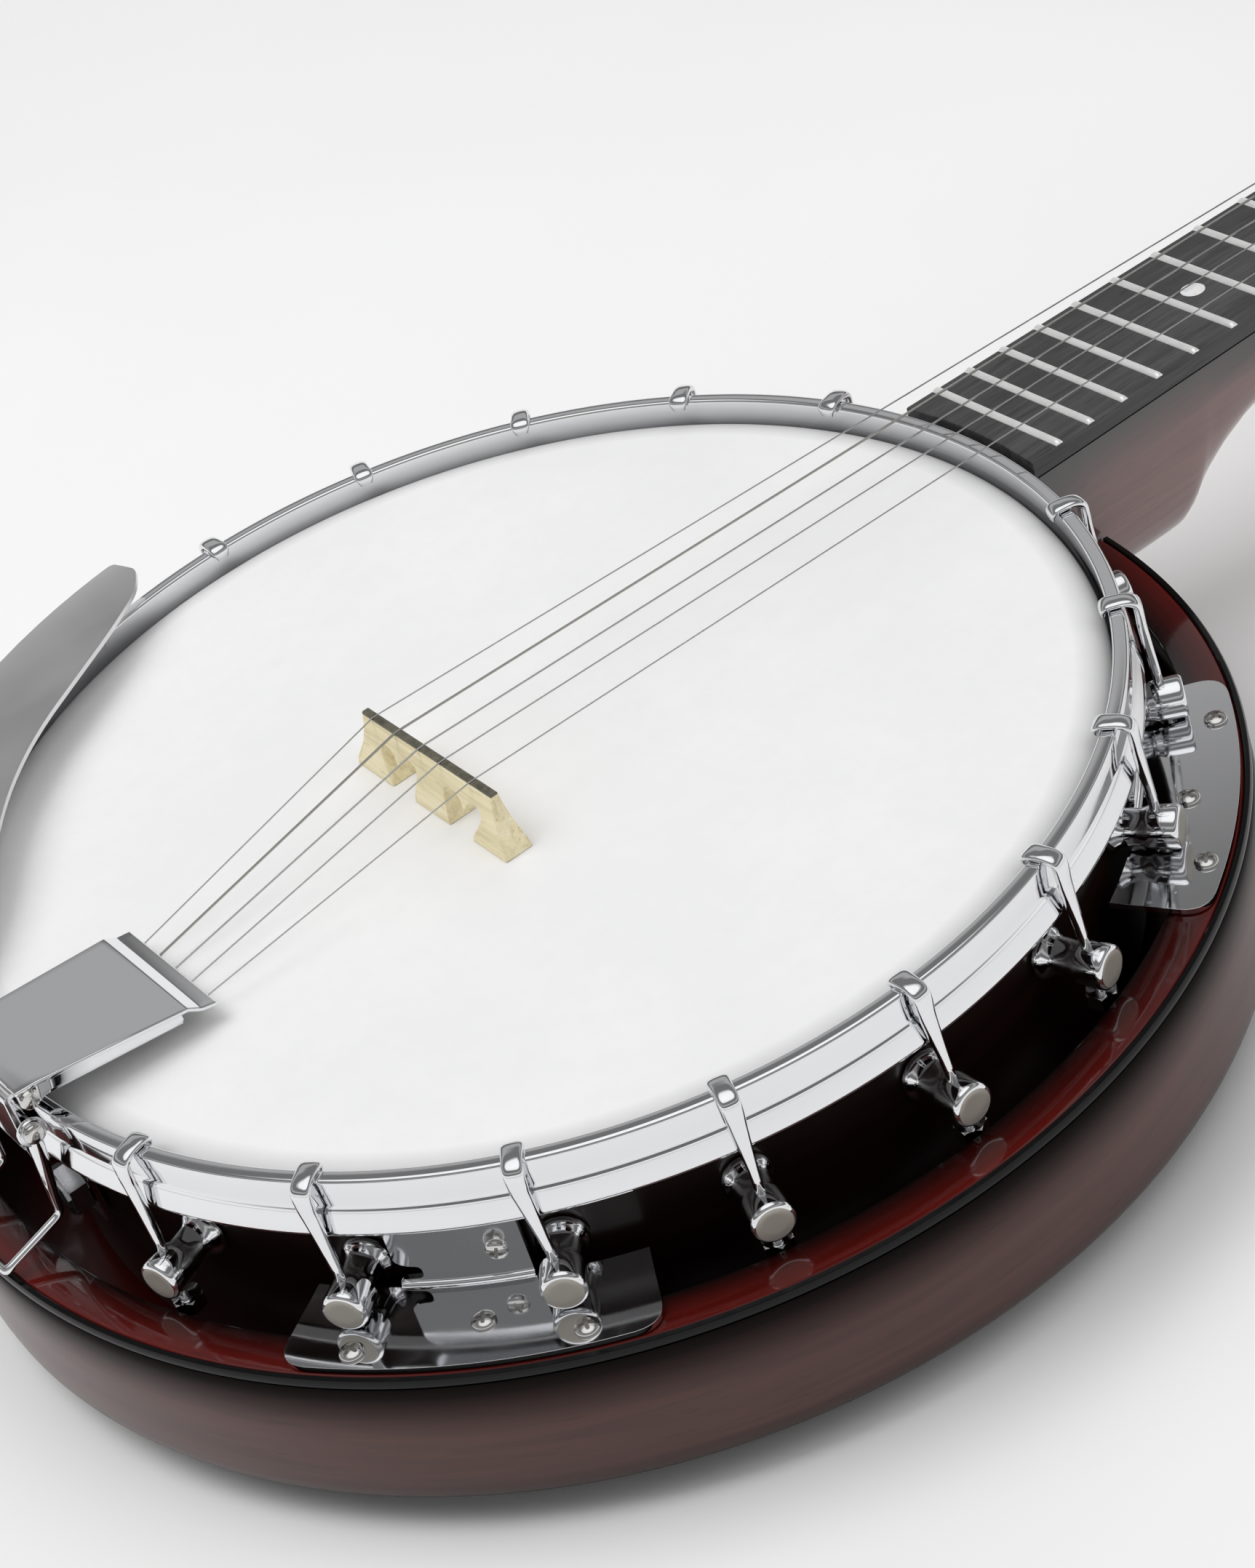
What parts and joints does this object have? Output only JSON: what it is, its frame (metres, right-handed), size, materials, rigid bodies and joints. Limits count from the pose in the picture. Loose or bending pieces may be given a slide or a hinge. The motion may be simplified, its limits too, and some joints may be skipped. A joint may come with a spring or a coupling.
{
  "type": "five-string resonator banjo",
  "caption": "Five-string banjo: white drum head in a chrome hook-tensioned pot, dark wood resonator, fretted neck, geared tuners, tailpiece and armrest.",
  "frame": {"origin": "centre of the flat on the resonator's back, on the axis of the round pot", "axes": "+X along the neck towards the peghead, +Y towards the fifth-string side, +Z out of the drum head"},
  "size_m": [0.9605, 0.3412, 0.0976],
  "materials": {
    "chrome": "polished, mirror bright",
    "mahogany": "gloss lacquer, red-brown sunburst going to near black at the edges",
    "rim_wood": "gloss dark lacquer",
    "black_gloss": "gloss black",
    "head_skin": "white frosted polyester film",
    "fingerboard": "satin charcoal, open grain, nickel silver frets and pearl dots",
    "maple": "bare maple with a dark top strip",
    "bone": "cream, lightly polished",
    "brass": "bare cast metal",
    "steel": "plain turned steel",
    "string_steel": "plain and wound steel wire"
  },
  "bodies": {
    "banjo": {"resonator": "mahogany", "neck": "mahogany", "rim": "rim_wood", "tone_ring": "brass", "head": "head_skin", "tension_hoop": "chrome", "resonator_binding": "black_gloss", "bracket_01": "chrome", "bracket_02": "chrome", "bracket_03": "chrome", "bracket_04": "chrome", "bracket_05": "chrome", "bracket_06": "chrome", "bracket_07": "chrome", "bracket_08": "chrome", "bracket_09": "chrome", "bracket_10": "chrome", "bracket_11": "chrome", "bracket_12": "chrome", "bracket_13": "chrome", "bracket_14": "chrome", "bracket_15": "chrome", "bracket_16": "chrome", "bracket_17": "chrome", "bracket_18": "chrome", "flange_plate_1": "chrome", "flange_plate_2": "chrome", "flange_plate_3": "chrome", "flange_plate_4": "chrome", "coordinator_rod": "steel", "fingerboard": "fingerboard", "nut": "bone", "fifth_string_nut": "bone", "truss_rod_cover": "black_gloss", "bridge": "maple", "tailpiece_hanger": "chrome", "tailpiece_base": "chrome", "tailpiece_bail": "chrome", "armrest": "chrome", "string_1": "string_steel", "string_2": "string_steel", "string_3": "string_steel", "string_4": "string_steel", "string_5": "string_steel", "tuner_housing_1": "chrome", "tuner_housing_2": "chrome", "tuner_housing_3": "chrome", "tuner_housing_4": "chrome", "fifth_peg_base": "chrome"},
    "tuner_post_1": {"tuner_post_1": "chrome"},
    "tuner_button_1": {"tuner_button_1": "chrome"},
    "tuner_post_2": {"tuner_post_2": "chrome"},
    "tuner_button_2": {"tuner_button_2": "chrome"},
    "tuner_post_3": {"tuner_post_3": "chrome"},
    "tuner_button_3": {"tuner_button_3": "chrome"},
    "tuner_post_4": {"tuner_post_4": "chrome"},
    "tuner_button_4": {"tuner_button_4": "chrome"},
    "fifth_peg_button": {"fifth_peg_button": "chrome"},
    "fifth_peg_post": {"fifth_peg_post": "chrome"},
    "tailpiece_cover": {"tailpiece_cover": "chrome"}
  },
  "joints": [
    {"name": "tuner_button_1_turn", "type": "hinge", "parent": "banjo", "child": "tuner_button_1", "pos_m": [0.6818, -0.0209, 0.04118], "axis": [0, -1, 0], "continuous": true},
    {"name": "tuner_post_1_turn", "type": "hinge", "parent": "banjo", "child": "tuner_post_1", "pos_m": [0.68663, -0.0209, 0.06193], "axis": [0.2267, 0, 0.974], "continuous": true},
    {"name": "tuner_button_2_turn", "type": "hinge", "parent": "banjo", "child": "tuner_button_2", "pos_m": [0.73635, -0.0209, 0.02849], "axis": [0, -1, 0], "continuous": true},
    {"name": "tuner_post_2_turn", "type": "hinge", "parent": "banjo", "child": "tuner_post_2", "pos_m": [0.74117, -0.0209, 0.04924], "axis": [0.2267, 0, 0.974], "continuous": true},
    {"name": "tuner_button_3_turn", "type": "hinge", "parent": "banjo", "child": "tuner_button_3", "pos_m": [0.6818, 0.0221, 0.04118], "axis": [0, 1, 0], "continuous": true},
    {"name": "tuner_post_3_turn", "type": "hinge", "parent": "banjo", "child": "tuner_post_3", "pos_m": [0.68663, 0.0221, 0.06193], "axis": [0.2267, 0, 0.974], "continuous": true},
    {"name": "tuner_button_4_turn", "type": "hinge", "parent": "banjo", "child": "tuner_button_4", "pos_m": [0.73635, 0.0221, 0.02849], "axis": [0, 1, 0], "continuous": true},
    {"name": "tuner_post_4_turn", "type": "hinge", "parent": "banjo", "child": "tuner_post_4", "pos_m": [0.74117, 0.0221, 0.04924], "axis": [0.2267, 0, 0.974], "continuous": true},
    {"name": "fifth_peg_button_turn", "type": "hinge", "parent": "banjo", "child": "fifth_peg_button", "pos_m": [0.48669, 0.024, 0.06653], "axis": [0, 1, 0], "continuous": true},
    {"name": "fifth_peg_post_turn", "type": "hinge", "parent": "banjo", "child": "fifth_peg_post", "pos_m": [0.48669, 0.024, 0.06653], "axis": [0, 1, 0], "continuous": true},
    {"name": "tailpiece_cover_lift", "type": "hinge", "parent": "banjo", "child": "tailpiece_cover", "pos_m": [-0.148, 0, 0.0913], "axis": [0, -1, 0], "range_deg": [0, 65]}
  ],
  "couplings": [
    {"joint": "tuner_post_1_turn", "follows": "tuner_button_1_turn", "ratio": 0.071429},
    {"joint": "tuner_post_2_turn", "follows": "tuner_button_2_turn", "ratio": 0.071429},
    {"joint": "tuner_post_3_turn", "follows": "tuner_button_3_turn", "ratio": 0.071429},
    {"joint": "tuner_post_4_turn", "follows": "tuner_button_4_turn", "ratio": 0.071429},
    {"joint": "fifth_peg_post_turn", "follows": "fifth_peg_button_turn", "ratio": 0.25}
  ]
}
